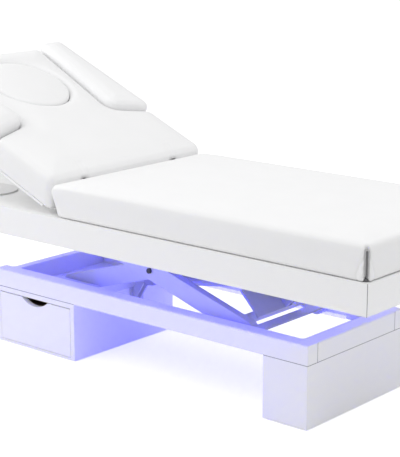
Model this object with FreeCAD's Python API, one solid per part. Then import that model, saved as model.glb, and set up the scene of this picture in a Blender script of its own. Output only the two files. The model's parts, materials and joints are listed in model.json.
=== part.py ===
import FreeCAD, Part
import math
import os

# X runs along the bed with the foot end positive, Y across it, Z up from the floor, in millimetres

Vector = FreeCAD.Vector
along_x = Vector(1, 0, 0)
along_y = Vector(0, 1, 0)
along_z = Vector(0, 0, 1)
origin = Vector(0, 0, 0)
half = 0.5
quarter_turn = math.pi * half
full_circle = 360

# Whole bed
bed_length = 2030
bed_width = 750
base_length = 1357
base_width = 510
foot_overhang = 282
seat_edge_height = 642
rest_angle = 23.1

# Main heights from the floor
glide_height = 3
rail_bottom = 203
rail_top = 265
apron_bottom = 437
deck_top = 531

# Thicknesses
board = 18
deck_board = 12
thin_board = 8
drawer_board = 12
drawer_floor = 6
rail_thickness = 49
steel_sheet = 3
steel_plate = 6

# Clearances
joint_gap = 0.5
pin_clearance = 0.05
drawer_gap = 1.5
cushion_gap = 1

# Edges of the bed and of the base
bed_foot = bed_length * half
bed_head = -bed_foot
bed_side = bed_width * half
base_foot = bed_foot - foot_overhang
base_head = base_foot - base_length
base_side = base_width * half
rail_inner = base_side - rail_thickness
panel_inner = base_side - board
rail_rounding = 6
deck_bottom = deck_top - deck_board
apron_inner = bed_side - board

# Foot block and end rails
foot_block_length = 166
end_rail_foot_inner = base_foot - rail_thickness
head_rail_thickness = 33
head_rail_inset = 39
foot_bar_width = 45
foot_bar_thickness = 6

# Cabinet and drawer
cabinet_length = 384
cabinet_foot = base_head + cabinet_length
cabinet_back = 245
drawer_front_low = 12.5
drawer_front_high = 182.5
drawer_box_back = 200
drawer_box_low = 26
drawer_box_high = 148
runner_width = 13
runner_fixed_share = 0.45
runner_height = 40
runner_low = 60
finger_cut_width = 127
finger_cut_depth = 24

# Scissor lift
lift_pivot_inset = 280
lift_pivot_x = base_foot - lift_pivot_inset
foot_bar_gap = 35
foot_bar_head = lift_pivot_x + foot_bar_gap
lift_pivot_z = 240
scissor_room = 557
scissor_half_span = (base_length - scissor_room) * half
scissor_half_rise = 121
arm_depth = 62
arm_wall = 5
arm_pocket_end = 70
arm_rail_gap = 11
outer_arm_width = 28
arm_side_gap = 4
inner_arm_width = 26
outer_arm_outer = rail_inner - arm_rail_gap
outer_arm_inner = outer_arm_outer - outer_arm_width
inner_arm_outer = outer_arm_inner - arm_side_gap
inner_arm_inner = inner_arm_outer - inner_arm_width
arm_pin_radius = 8
arm_pin_head_radius = 9
arm_pin_head = 7
washer_radius = 14
scissor_centre_x = lift_pivot_x - scissor_half_span
scissor_centre_z = lift_pivot_z + scissor_half_rise
upper_pivot_z = scissor_centre_z + scissor_half_rise
roller_x = scissor_centre_x - scissor_half_span
inner_tube_share = 0.718
inner_tube_radius = 15

# Rollers and their channels
roller_radius = 17
roller_width = 20
axle_radius = 6
axle_collar_radius = 9
channel_half_height = 18
channel_depth = 28
lower_channel_reach_head = 53
lower_channel_reach_foot = 157
lower_channel_head = roller_x - lower_channel_reach_head
lower_channel_foot = roller_x + lower_channel_reach_foot
subframe_gap = 5
subframe_side = outer_arm_outer + subframe_gap + channel_depth
subframe_reach_head = 263
subframe_reach_foot = 147
subframe_head = roller_x - subframe_reach_head
subframe_foot = lift_pivot_x + subframe_reach_foot
cross_tube_size = 30

# Lift lever and actuator
lever_tube_back = 46
lever_tube_rise = 14
lever_tube_x = lift_pivot_x - lever_tube_back
lever_tube_z = lift_pivot_z + lever_tube_rise
lever_tube_radius = 17
lever_plate_angle = 46
lever_plate_width = 210
lever_plate_up = 90
lever_plate_down = 14
lever_plate_sink = 2
lever_notch_start = 27
lever_radius = 120
lever_angle = 113.6
lever_lug_radius = 14
lever_pin_radius = 6
lever_pin_play = 2.2
lift_actuator_reach = 40
lift_actuator_x = cabinet_foot + lift_actuator_reach
lift_actuator_z = lift_pivot_z
lift_actuator_side_gap = 87
lift_actuator_y = inner_arm_inner - lift_actuator_side_gap
eye_radius = 14
eye_width = 20
lug_gap = 1
gear_case_start = 18
gear_case_length = 44
gear_case_half_height = 22
motor_offset = 54
motor_radius = 24
motor_length = 110
lift_tube_radius = 22
lift_tube_gap = 183
lift_tube_end = lift_pivot_x - lift_actuator_x - lift_tube_gap
lift_bore_length = 220
lift_bore_start = lift_tube_end - lift_bore_length
lift_rod_radius = 9.5
lift_rod_gap = 50
lift_rod_start = lift_bore_start + lift_rod_gap
wall_plate_low = 120
wall_plate_half_width = 32

# Platform hinge and backrest
hinge_offset = 205
hinge_x = -hinge_offset
hinge_depth = 18
hinge_z = seat_edge_height - hinge_depth
hinge_inset = 160
hinge_y = bed_side - hinge_inset
hinge_pin_radius = 6
hinge_lug_radius = 10
hinge_flange = 40
pocket_width = 24
pocket_depth = 26
pocket_clearance = 2
backrest_head_inset = 1
backrest_length = hinge_x - bed_head - backrest_head_inset
backrest_board_gap = 30
backrest_board_end = 14
strap_thickness = 4
strap_width = 40
strap_length = 285
rest_pad_thickness = 5.2
rest_pad_gap = 0.3
backrest_cushion_bottom = deck_top + rest_pad_thickness + rest_pad_gap + thin_board
rest_pad_length = 220
rest_pad_width = 190
rest_pad_head_inset = 332
rest_pad_side_inset = 145
rest_pad_x = bed_head + rest_pad_head_inset
rest_pad_y = bed_side - rest_pad_side_inset

# Backrest actuator with a slotted lever
back_tube_drop = 35
slot_lever_drop = hinge_z - deck_bottom + back_tube_drop
slot_lever_lean = 8.4
slot_lever_y = -50
slot_lever_thickness = 8
slot_half_width = 10.5
slot_half_length = 20
slot_middle_offset = 12
slot_middle_radius = slot_lever_drop + slot_middle_offset
slot_lever_margin = 12
fork_radius = 13
fork_length = 31
fork_cheek = 6
back_tube_radius = 20
back_tube_start = 135
back_tube_length = 260
back_tube_head = hinge_x + back_tube_start
back_tube_foot = back_tube_head + back_tube_length
back_bore_end = 20
back_bore_foot = back_tube_foot - back_bore_end
back_rod_radius = 10
back_rod_reach = 295
back_rod_foot = hinge_x + back_rod_reach
clamp_length = 30
clamp_inset = 50
clamp_spacing = 150
clamp_head_x = back_tube_head + clamp_inset
clamp_foot_x = clamp_head_x + clamp_spacing
clamp_half_width = 30
actuator_opening_reach_head = 140
actuator_opening_reach_foot = 93
actuator_opening_head = hinge_x - actuator_opening_reach_head
actuator_opening_foot = hinge_x + actuator_opening_reach_foot
actuator_opening_half_width = 26

# Cushions
seat_board_inset = 14
seat_board_gap = 35
seat_cushion_gap = 4
seat_board_head = hinge_x + seat_board_gap
seat_cushion_head = hinge_x + seat_cushion_gap
seat_cushion_inset = 3
backrest_cushion_gap = 8
backrest_cushion_foot = hinge_x - backrest_cushion_gap
backrest_proud = 20
backrest_edge_roll = 34
backrest_crown_reach = 70
backrest_top = seat_edge_height + backrest_proud
cushion_belly_depth = 36
cushion_belly = seat_edge_height - cushion_belly_depth
cushion_lean = 19
cushion_draw = 4
cushion_edge_roll = 18
cushion_crown = 8
crown_reach = 110
crown_steps = 3
roll_steps = 3
bottom_roll = 4
foot_corner_radius = 18
seat_fold_radius = 18
backrest_fold_radius = 30
head_corner_radius = 26
smallest_radius = 1

# Side pads and face plug
pad_outer_length = 520
pad_inner_length = 469
pad_outer_start = backrest_length - pad_outer_length
pad_inner_start = backrest_length - pad_inner_length
pad_inner_inset = 167
pad_head_inset = 109
pad_inner_y = bed_side - pad_inner_inset
pad_head_y = bed_side - pad_head_inset
pad_proud = 42
pad_roll = 30
pad_crown = 3
pad_crown_reach = 17
pad_corner_radius = 46
pad_tip_radius = 16
pad_plate = 4
pad_plate_inset = 12
peg_radius = 7
peg_inset = 57
peg_y = bed_side - peg_inset
peg_foot_inset = 389
peg_head_inset = 89
peg_reaches = (backrest_length - peg_foot_inset, backrest_length - peg_head_inset)
peg_clearance = 0.3
peg_length = 5
face_head_inset = 244
face_centre = backrest_length - face_head_inset
face_hole_radius = 157
face_rim = 10
face_board_radius = 125
face_plug_gap = 0.8
face_plug_rise = 4
face_plug_roll = 16
face_plug_crown = 6
face_plug_reach = 90

# Control box, light strips, glides and screws
control_box_gap = 66
control_box_x = back_tube_foot + gear_case_length + control_box_gap
control_box_length = 150
control_box_half_width = 70
control_box_height = 46
inlet_length = 28
inlet_half_width = 14
inlet_half_height = 10
strip_width = 10
strip_height = 6
strip_end_gap = 20
glide_radius = 15
glide_inset = 30
screw_radius = 3
screw_head_radius = 6
screw_head = 4
screw_reach = 9
screw_spacing = 480
screw_count = 3


def box(x_low, x_high, y_low, y_high, z_low, z_high):
    """Straight block between the given faces."""
    return Part.makeBox(x_high - x_low, y_high - y_low, z_high - z_low, Vector(x_low, y_low, z_low))


def bar_across(x, z, radius, y_low, y_high):
    """Round bar along Y."""
    return Part.makeCylinder(radius, y_high - y_low, Vector(x, y_low, z), along_y)


def bar_along(y, z, radius, x_low, x_high):
    """Round bar along X."""
    return Part.makeCylinder(radius, x_high - x_low, Vector(x_low, y, z), along_x)


def disc_up(x, y, radius, z_low, z_high):
    """Upright round disc."""
    return Part.makeCylinder(radius, z_high - z_low, Vector(x, y, z_low), along_z)


def mirrored(shape):
    """The same shape on the other long side of the bed."""
    return shape.mirror(origin, along_y)


def joined(shapes):
    """One solid out of touching shapes."""
    first, *others = shapes
    return first.fuse(others).removeSplitter()


def turned(shape, x, z, angle):
    """Shape turned about a line along Y, positive raises the head side."""
    copy = shape.copy()
    copy.rotate(Vector(x, 0, z), along_y, angle)
    return copy


def raised(shape):
    """Backrest shape moved from flat to the angle in the photo."""
    return turned(shape, hinge_x, hinge_z, rest_angle)


def same_radii(radius):
    """The same radius at the four corners of an outline."""
    return [radius for corner in ("head", "foot", "near", "far")]


def square_corners(points):
    """No rounding at any corner of an outline."""
    return [0 for point in points]


def save(name, *solids):
    """One file for one node."""
    shape = solids[0]
    if len(solids) > 1:
        shape = Part.makeCompound(list(solids))
    shape.exportStep(f"parts/{name}.step")


def rounded_outline(points, radii):
    """Closed outline of lines and arcs through the given corners."""
    befores = points[-1:] + points[:-1]
    afters = points[1:] + points[:1]
    turns = []
    for point, before, after, radius in zip(points, befores, afters, radii):
        if radius == 0:
            turns.append((point, None, point))
            continue
        to_before = (before - point).normalize()
        to_after = (after - point).normalize()
        half_corner = to_before.getAngle(to_after) * half
        reach = radius / math.tan(half_corner)
        inward = (to_before + to_after).normalize()
        middle = point + inward * (radius / math.sin(half_corner) - radius)
        turns.append((point + to_before * reach, middle, point + to_after * reach))
    edges = []
    followings = turns[1:] + turns[:1]
    for (start, middle, end), following in zip(turns, followings):
        if middle is not None:
            edges.append(Part.Arc(start, middle, end).toShape())
        if not end.isEqual(following[0], pin_clearance):
            edges.append(Part.makeLine(end, following[0]))
    return Part.Wire(edges)


def plate_across(corners, radii, y_low, y_high):
    """Plate with an outline seen from the side and its thickness along Y."""
    points = [Vector(x, y_low, z) for x, z in corners]
    face = Part.Face(rounded_outline(points, radii))
    return face.extrude(along_y * (y_high - y_low))


def profile_along(corners, radii, x_low, x_high):
    """Bar with a section seen from the end and its length along X."""
    points = [Vector(x_low, y, z) for y, z in corners]
    face = Part.Face(rounded_outline(points, radii))
    return face.extrude(along_x * (x_high - x_low))


def plate_level(corners, radii, z_low, z_high):
    """Level plate with an outline seen from above."""
    points = [Vector(x, y, z_low) for x, y in corners]
    face = Part.Face(rounded_outline(points, radii))
    return face.extrude(along_z * (z_high - z_low))


def rounded_section(corners, radii, inset, height):
    """Outline moved in by the same distance on every side, at one height."""
    points = [Vector(x, y, 0) for x, y in corners]
    befores = points[-1:] + points[:-1]
    afters = points[1:] + points[:1]
    moved = []
    moved_radii = []
    for point, before, after, radius in zip(points, befores, afters, radii):
        side_before = along_z.cross((point - before).normalize())
        side_after = along_z.cross((after - point).normalize())
        both = side_before + side_after
        shifted = point + both * (inset / both.dot(side_after))
        moved.append(Vector(shifted.x, shifted.y, height))
        hollow_corner = side_before.cross(side_after).z < 0
        changed = radius + inset if hollow_corner else radius - inset
        moved_radii.append(max(changed, smallest_radius))
    return rounded_outline(moved, moved_radii)


def cushion_levels(bottom, edge_top, roll, crown, reach):
    """Heights and insets of a padded form: drawn-in foot, belly, rolled edge and crown."""
    edge_low = edge_top - roll
    levels = [(bottom, cushion_draw + bottom_roll), (bottom + bottom_roll, cushion_draw)]
    levels.append((cushion_belly, 0))
    levels.append((edge_low, 0))
    for step in range(1, roll_steps + 1):
        angle = quarter_turn * step / roll_steps
        levels.append((edge_low + roll * math.sin(angle), roll * (1 - math.cos(angle))))
    for step in range(1, crown_steps + 1):
        share = step / crown_steps
        levels.append((edge_top + crown * math.sin(quarter_turn * share), roll + reach * share))
    return levels


def padded_form(corners, radii, levels, side_gap, fold_x):
    """Soft form stacked from sections; corners at the fold lean towards the foot end below the belly."""
    lowest = levels[0][0]
    sections = []
    for height, inset in levels:
        lean_share = max(0, (cushion_belly - height) / (cushion_belly - lowest))
        leaned = []
        for x, y in corners:
            shift = cushion_lean * lean_share if x == fold_x else 0
            leaned.append((x + shift, y))
        sections.append(rounded_section(leaned, radii, inset + side_gap, height))
    return Part.makeLoft(sections, True, True)


def round_form(middle, radius, levels):
    """Round form turned about an upright line, from heights and insets."""
    profile = [Vector(middle, 0, levels[0][0])]
    for height, inset in levels:
        profile.append(Vector(middle + radius - inset, 0, height))
    profile.append(Vector(middle, 0, profile[-1].z))
    profile.append(profile[0])
    return Part.Face(Part.makePolygon(profile)).revolve(profile[0], along_z, full_circle)


def scissor_arm(low_x, low_z, high_x, high_z, y_low, y_high, pocket_low, pocket_high):
    """Pressed arm with round ends, a pocket on its hidden side and three pin holes."""
    length = math.hypot(high_x - low_x, high_z - low_z)
    radius = arm_depth * half
    corners = [(-radius, -radius), (length + radius, -radius), (length + radius, radius), (-radius, radius)]
    blank = plate_across(corners, same_radii(radius), y_low, y_high)
    inner = radius - arm_wall
    middle = length * half
    for start, end in ((arm_pocket_end, middle - arm_pocket_end), (middle + arm_pocket_end, length - arm_pocket_end)):
        blank = blank.cut(box(start, end, pocket_low, pocket_high, -inner, inner))
    for place in (0, middle, length):
        blank = blank.cut(bar_across(place, 0, arm_pin_radius + pin_clearance, y_low, y_high))
    angle = math.degrees(math.atan2(low_z - high_z, high_x - low_x))
    arm = turned(blank, 0, 0, angle)
    arm.translate(Vector(low_x, 0, low_z))
    return arm


def build_base_rails():
    """Rails, cross bar, roller channels and pivot pins of the base."""
    corners = [(rail_inner, rail_bottom), (base_side, rail_bottom), (base_side, rail_top), (rail_inner, rail_top)]
    far = profile_along(corners, [0, 0, rail_rounding, 0], base_head, base_foot)
    save("base_side_rails", mirrored(far), far)
    foot_corners = [(end_rail_foot_inner, rail_bottom), (base_foot, rail_bottom),
                    (base_foot, rail_top), (end_rail_foot_inner, rail_top)]
    save("base_end_rail_foot", plate_across(foot_corners, [0, 0, rail_rounding, 0], -rail_inner, rail_inner))
    head_low = base_head + head_rail_inset
    save("base_end_rail_head", box(head_low, head_low + head_rail_thickness, -rail_inner, rail_inner,
                                   rail_bottom, rail_top))
    save("base_cross_bar_foot", box(foot_bar_head, foot_bar_head + foot_bar_width, -rail_inner, rail_inner,
                                    rail_top - foot_bar_thickness, rail_top))
    low = lift_pivot_z - channel_half_height
    high = lift_pivot_z + channel_half_height
    mouth = rail_inner - channel_depth
    web = rail_inner - steel_sheet
    channel = [(mouth, low - steel_sheet), (rail_inner, low - steel_sheet), (rail_inner, high + steel_sheet),
               (mouth, high + steel_sheet), (mouth, high), (web, high), (web, low), (mouth, low)]
    far = profile_along(channel, square_corners(channel), lower_channel_head, lower_channel_foot)
    save("base_roller_channels", mirrored(far), far)
    flange = bar_across(lift_pivot_x, lift_pivot_z, arm_pin_head_radius, outer_arm_outer + joint_gap, rail_inner)
    pin = bar_across(lift_pivot_x, lift_pivot_z, arm_pin_radius, outer_arm_inner - steel_sheet, rail_inner)
    far = joined([flange, pin])
    save("base_pivot_pins", far, mirrored(far))


def build_foot_block():
    """Box under the foot end of the base."""
    inner_end = base_foot - foot_block_length
    end = box(base_foot - board, base_foot, -base_side, base_side, glide_height, rail_bottom)
    inner = box(inner_end, inner_end + board, -base_side, base_side, glide_height, rail_bottom)
    save("foot_block_end_panels", end, inner)
    side_low = inner_end + board
    side_high = base_foot - board
    far = box(side_low, side_high, panel_inner, base_side, glide_height, rail_bottom)
    save("foot_block_side_panels", mirrored(far), far)
    save("foot_block_top_panel", box(side_low, side_high, -panel_inner, panel_inner,
                                     rail_bottom - board, rail_bottom))


def build_cabinet():
    """Cabinet shell under the head end of the base, open at the near side for the drawer."""
    inner_head = base_head + board
    inner_foot = cabinet_foot - board
    head_side = box(base_head, inner_head, -base_side, cabinet_back, glide_height, rail_bottom)
    foot_side = box(inner_foot, cabinet_foot, -base_side, cabinet_back, glide_height, rail_bottom)
    save("cabinet_side_panels", head_side, foot_side)
    save("cabinet_top_panel", box(inner_head, inner_foot, -base_side, cabinet_back, rail_bottom - board, rail_bottom))
    save("cabinet_bottom_panel", box(inner_head, inner_foot, -base_side, cabinet_back,
                                     glide_height, glide_height + thin_board))
    save("cabinet_back_panel", box(inner_head, inner_foot, cabinet_back - thin_board, cabinet_back,
                                   glide_height + thin_board, rail_bottom - board))
    fixed = runner_width * runner_fixed_share
    back = cabinet_back - thin_board
    head = box(inner_head, inner_head + fixed, -panel_inner + drawer_gap, back, runner_low, runner_low + runner_height)
    foot = box(inner_foot - fixed, inner_foot, -panel_inner + drawer_gap, back, runner_low, runner_low + runner_height)
    save("drawer_runners_fixed", head, foot)


def build_drawer():
    """Inset drawer with a half-moon finger cut-out in the top edge of its front."""
    inner_head = base_head + board
    inner_foot = cabinet_foot - board
    front_head = inner_head + drawer_gap
    front_foot = inner_foot - drawer_gap
    front = box(front_head, front_foot, -base_side, -panel_inner, drawer_front_low, drawer_front_high)
    half_cut = finger_cut_width * half
    cut_radius = (half_cut * half_cut + finger_cut_depth * finger_cut_depth) * half / finger_cut_depth
    cut_z = drawer_front_high - finger_cut_depth + cut_radius
    middle = (inner_head + inner_foot) * half
    front = front.cut(bar_across(middle, cut_z, cut_radius, -base_side - board, -panel_inner + board))
    save("drawer_front", front)
    box_head = inner_head + runner_width
    box_foot = inner_foot - runner_width
    head_side = box(box_head, box_head + drawer_board, -panel_inner, drawer_box_back,
                    drawer_box_low, drawer_box_high)
    foot_side = box(box_foot - drawer_board, box_foot, -panel_inner, drawer_box_back,
                    drawer_box_low, drawer_box_high)
    save("drawer_sides", head_side, foot_side)
    inside_head = box_head + drawer_board
    inside_foot = box_foot - drawer_board
    save("drawer_back", box(inside_head, inside_foot, drawer_box_back - drawer_board, drawer_box_back,
                            drawer_box_low, drawer_box_high))
    save("drawer_bottom", box(inside_head, inside_foot, -panel_inner, drawer_box_back - drawer_board,
                              drawer_box_low, drawer_box_low + drawer_floor))
    fixed = runner_width * runner_fixed_share + joint_gap
    head = box(inner_head + fixed, box_head, -panel_inner + drawer_gap, drawer_box_back,
               runner_low, runner_low + runner_height)
    foot = box(box_foot, inner_foot - fixed, -panel_inner + drawer_gap, drawer_box_back,
               runner_low, runner_low + runner_height)
    save("drawer_runners_moving", head, foot)


def build_outer_arms():
    """Scissor arms from the fixed lower pins up to the upper rollers, with the lift lever."""
    arm = scissor_arm(roller_x, upper_pivot_z, lift_pivot_x, lift_pivot_z, outer_arm_inner, outer_arm_outer,
                      outer_arm_inner, outer_arm_outer - arm_wall)
    far = joined([arm] + stub_axle(upper_pivot_z, outer_arm_inner, outer_arm_outer, subframe_side))
    save("outer_arm_far", far)
    save("outer_arm_near", mirrored(far))
    head = bar_across(scissor_centre_x, scissor_centre_z, arm_pin_head_radius,
                      outer_arm_outer, outer_arm_outer + arm_pin_head)
    shank = bar_across(scissor_centre_x, scissor_centre_z, arm_pin_radius,
                       inner_arm_inner - joint_gap - arm_pin_head, outer_arm_outer)
    nut = bar_across(scissor_centre_x, scissor_centre_z, washer_radius,
                     inner_arm_inner - joint_gap - arm_pin_head, inner_arm_inner - joint_gap)
    far = joined([shank, head, nut])
    save("scissor_centre_bolts", far, mirrored(far))
    build_lift_lever()


def stub_axle(height, arm_inner, arm_outer, side):
    """Axle at the roller end of an arm, with a collar that keeps the roller in its channel."""
    inner = roller_inner_face(side)
    root = bar_across(roller_x, height, arm_pin_radius + pin_clearance, arm_inner, arm_outer)
    collar = bar_across(roller_x, height, axle_collar_radius, arm_outer, inner - joint_gap)
    axle = bar_across(roller_x, height, axle_radius, arm_outer, inner + roller_width)
    return [root, collar, axle]


def roller_inner_face(side):
    """Inner face of a roller in the channel whose outer wall is at this distance."""
    return side - steel_sheet - steel_sheet - roller_width


def build_lift_lever():
    """Welded lever on the outer arms: cross tube, inclined plate, two lugs and the pin."""
    tube = bar_across(lever_tube_x, lever_tube_z, lever_tube_radius, -outer_arm_inner, outer_arm_inner)
    lever_half = lever_plate_width * half
    plate_low = lever_tube_z + lever_tube_radius - lever_plate_sink
    plate_high = lever_tube_z + lever_tube_radius + steel_plate
    plate = box(lever_tube_x - lever_plate_up, lever_tube_x + lever_plate_down, -lever_half, lever_half,
                plate_low, plate_high)
    half_notch = eye_width * half + lug_gap
    notch = box(lever_tube_x - lever_plate_up, lever_tube_x - lever_notch_start, lift_actuator_y - half_notch,
                lift_actuator_y + half_notch, plate_low, plate_high)
    plate = plate.cut(notch)
    plate = turned(plate, lever_tube_x, lever_tube_z, lever_plate_angle)
    far_lug = lever_lug(lift_actuator_y + eye_width * half + lug_gap)
    near_lug = lever_lug(lift_actuator_y - eye_width * half - lug_gap - steel_plate)
    pin_x, pin_z = lever_pin_place()
    reach = eye_width * half + lug_gap + steel_plate + steel_sheet
    pin = bar_across(pin_x, pin_z, lever_pin_radius, lift_actuator_y - reach, lift_actuator_y + reach)
    save("lift_lever", joined([tube, plate, far_lug, near_lug, pin]))


def lever_pin_place():
    """Pin of the lift lever, in line with the rod end of the lift actuator."""
    angle = math.radians(lever_angle)
    return lift_pivot_x - lever_radius * math.cos(angle), lift_pivot_z + lever_radius * math.sin(angle)


def lever_lug(y_low):
    """Triangular lug that stands on the inclined lever plate."""
    pin_x, pin_z = lever_pin_place()
    lean = math.radians(lever_plate_angle)
    base_height = lever_tube_radius + steel_plate
    corners = []
    for along in (lever_plate_up, -lever_plate_down):
        corners.append((lever_tube_x - along * math.cos(lean) + base_height * math.sin(lean),
                        lever_tube_z + along * math.sin(lean) + base_height * math.cos(lean)))
    radius = lever_lug_radius
    side_x = radius * math.cos(lean)
    side_z = radius * math.sin(lean)
    top_x = pin_x + radius * math.sin(lean)
    top_z = pin_z + radius * math.cos(lean)
    corners.append((top_x + side_x, top_z - side_z))
    corners.append((top_x - side_x, top_z + side_z))
    return plate_across(corners, [0, 0, radius, radius], y_low, y_low + steel_plate)


def build_inner_arms():
    """Scissor arms from the lower rollers up to the fixed pins of the platform."""
    arm = scissor_arm(roller_x, lift_pivot_z, lift_pivot_x, upper_pivot_z, inner_arm_inner, inner_arm_outer,
                      inner_arm_inner, inner_arm_outer - arm_wall)
    far = joined([arm] + stub_axle(lift_pivot_z, inner_arm_inner, inner_arm_outer, rail_inner))
    save("inner_arm_far", far)
    save("inner_arm_near", mirrored(far))
    tube_x = scissor_centre_x - scissor_half_span * inner_tube_share
    tube_z = scissor_centre_z - scissor_half_rise * inner_tube_share
    tube_reach = inner_arm_outer - arm_wall
    save("inner_arm_cross_tube", bar_across(tube_x, tube_z, inner_tube_radius, -tube_reach, tube_reach))


def build_rollers():
    """Two pairs of rollers that run in the channels."""
    pairs = (("lower_rollers", rail_inner, lift_pivot_z), ("upper_rollers", subframe_side, upper_pivot_z))
    for name, side, height in pairs:
        inner = roller_inner_face(side)
        roller = bar_across(roller_x, height, roller_radius, inner, inner + roller_width)
        roller = roller.cut(bar_across(roller_x, height, axle_radius + pin_clearance, inner, inner + roller_width))
        save(name, roller, mirrored(roller))


def build_platform_frame():
    """Aprons, deck and steel subframe of the lifted platform."""
    far = box(bed_head, bed_foot, apron_inner, bed_side, apron_bottom, deck_top)
    save("platform_side_aprons", mirrored(far), far)
    foot = box(bed_foot - board, bed_foot, -apron_inner, apron_inner, apron_bottom, deck_top)
    head = box(bed_head, bed_head + board, -apron_inner, apron_inner, apron_bottom, deck_top)
    save("platform_end_aprons", foot, head)
    deck = box(bed_head + board, bed_foot - board, -apron_inner, apron_inner, deck_bottom, deck_top)
    deck = deck.cut(box(actuator_opening_head, actuator_opening_foot, slot_lever_y - actuator_opening_half_width,
                        slot_lever_y + actuator_opening_half_width, deck_bottom, deck_top))
    low = upper_pivot_z - channel_half_height
    high = upper_pivot_z + channel_half_height
    mouth = subframe_side - channel_depth
    web = subframe_side - steel_sheet
    top = deck_bottom - steel_sheet
    corners = [(mouth, low - steel_sheet), (subframe_side, low - steel_sheet), (subframe_side, deck_bottom),
               (mouth, deck_bottom), (mouth, top), (web, top), (web, high + steel_sheet),
               (mouth, high + steel_sheet), (mouth, high), (web, high), (web, low), (mouth, low)]
    far = profile_along(corners, square_corners(corners), subframe_head, subframe_foot)
    screws = []
    screw_y = mouth + screw_head_radius + steel_sheet
    middle = (subframe_head + subframe_foot) * half
    for index in range(screw_count):
        x = middle + (index - (screw_count - 1) * half) * screw_spacing
        shank = disc_up(x, screw_y, screw_radius, top, top + screw_reach)
        head = disc_up(x, screw_y, screw_head_radius, top - screw_head, top)
        deck = deck.cut(shank).cut(mirrored(shank))
        far = far.cut(shank)
        screws.append(joined([shank, head]))
    save("platform_subframe_rails", mirrored(far), far)
    save("platform_deck", deck)
    save("subframe_screws", *screws, *[mirrored(screw) for screw in screws])
    tube_low = deck_bottom - cross_tube_size
    tubes = []
    for x_low in (subframe_foot, subframe_head - cross_tube_size):
        tube = box(x_low, x_low + cross_tube_size, -apron_inner, apron_inner, tube_low, deck_bottom)
        tube = tube.cut(box(x_low + steel_sheet, x_low + cross_tube_size - steel_sheet, -apron_inner, apron_inner,
                            tube_low + steel_sheet, deck_bottom - steel_sheet))
        tubes.append(tube)
    save("platform_cross_tubes", *tubes)
    build_platform_pivots()


def build_platform_pivots():
    """Lugs under the deck that carry the upper ends of the inner arms."""
    lug_inner = inner_arm_outer + steel_sheet
    lug_outer = lug_inner + steel_plate
    lug_half = arm_depth * half
    radius = lug_half
    low = upper_pivot_z - radius
    corners = [(lift_pivot_x - lug_half, low), (lift_pivot_x + lug_half, low),
               (lift_pivot_x + lug_half, deck_bottom), (lift_pivot_x - lug_half, deck_bottom)]
    plate = plate_across(corners, [radius, radius, 0, 0], lug_inner, lug_outer)
    flange = box(lift_pivot_x - lug_half, lift_pivot_x + lug_half, lug_outer, subframe_side - channel_depth,
                 deck_bottom - steel_sheet, deck_bottom)
    pin = bar_across(lift_pivot_x, upper_pivot_z, arm_pin_radius, inner_arm_inner - steel_sheet, lug_outer)
    collar = bar_across(lift_pivot_x, upper_pivot_z, washer_radius, inner_arm_outer + joint_gap, lug_inner)
    far = joined([plate, flange, pin, collar])
    save("platform_pivot_lugs", mirrored(far), far)


def build_hinge():
    """Brackets of the backrest hinge, the platform half and the backrest half."""
    radius = hinge_lug_radius
    inner = hinge_y - steel_plate * half
    outer = inner + steel_plate
    wide = hinge_flange * half
    corners = [(hinge_x - wide, deck_top), (hinge_x + wide, deck_top), (hinge_x + radius, hinge_z + radius),
               (hinge_x - radius, hinge_z + radius)]
    plate = plate_across(corners, [0, 0, radius, radius], inner, outer)
    flange = box(hinge_x - wide, hinge_x + wide, inner - wide, inner, deck_top, deck_top + steel_plate)
    bore = bar_across(hinge_x, hinge_z, hinge_pin_radius + pin_clearance, inner, outer + joint_gap + steel_plate)
    far = joined([plate, flange]).cut(bore)
    save("platform_hinge_brackets", mirrored(far), far)
    second_inner = outer + joint_gap
    second_outer = second_inner + steel_plate
    pin = bar_across(hinge_x, hinge_z, hinge_pin_radius, inner - steel_sheet, second_outer + steel_sheet)
    save("hinge_pins", pin, mirrored(pin))
    strap_high = backrest_cushion_bottom - thin_board
    strap_low = strap_high - strap_thickness
    strap_foot = hinge_x - backrest_board_gap
    strap_head = strap_foot - strap_length
    strap = box(strap_head, strap_foot, hinge_y - strap_width * half, hinge_y + strap_width * half,
                strap_low, strap_high)
    lug_corners = [(strap_foot - hinge_flange, strap_low), (hinge_x - wide, strap_low),
                   (hinge_x + radius, hinge_z - wide), (hinge_x + radius, hinge_z + radius),
                   (hinge_x - radius, hinge_z + radius)]
    lug = plate_across(lug_corners, [0, 0, radius, radius, radius], second_inner, second_outer)
    far = joined([strap, lug]).cut(bore)
    save("backrest_hinge_brackets", raised(mirrored(far)), raised(far))


def hinge_pockets():
    """Hollows at the fold that leave room for the hinge brackets."""
    middle = hinge_y + steel_plate * half
    radius = hinge_lug_radius + pocket_clearance
    y_low = middle - pocket_width * half
    y_high = middle + pocket_width * half
    pocket_head = hinge_x - backrest_board_gap - hinge_flange - pocket_depth * half
    pocket = joined([box(pocket_head, hinge_x, y_low, y_high, deck_top, hinge_z + radius),
                     bar_across(hinge_x, hinge_z, radius, y_low, y_high),
                     box(hinge_x, hinge_x + pocket_depth, y_low, y_high, deck_top, hinge_z)])
    return [pocket, mirrored(pocket)]


def build_seat():
    """Seat board and seat cushion."""
    seat_board = box(seat_board_head, bed_foot - seat_board_inset, seat_board_inset - bed_side,
                     bed_side - seat_board_inset, deck_top, deck_top + thin_board)
    save("seat_board", seat_board)
    foot = bed_foot - seat_cushion_inset
    side = bed_side - seat_cushion_inset
    corners = [(seat_cushion_head, -side), (foot, -side), (foot, side), (seat_cushion_head, side)]
    radii = [seat_fold_radius, foot_corner_radius, foot_corner_radius, seat_fold_radius]
    levels = cushion_levels(deck_top + thin_board, seat_edge_height, cushion_edge_roll, cushion_crown, crown_reach)
    cushion = padded_form(corners, radii, levels, 0, seat_cushion_head)
    save("seat_cushion", cushion.cut(hinge_pockets()))


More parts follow.
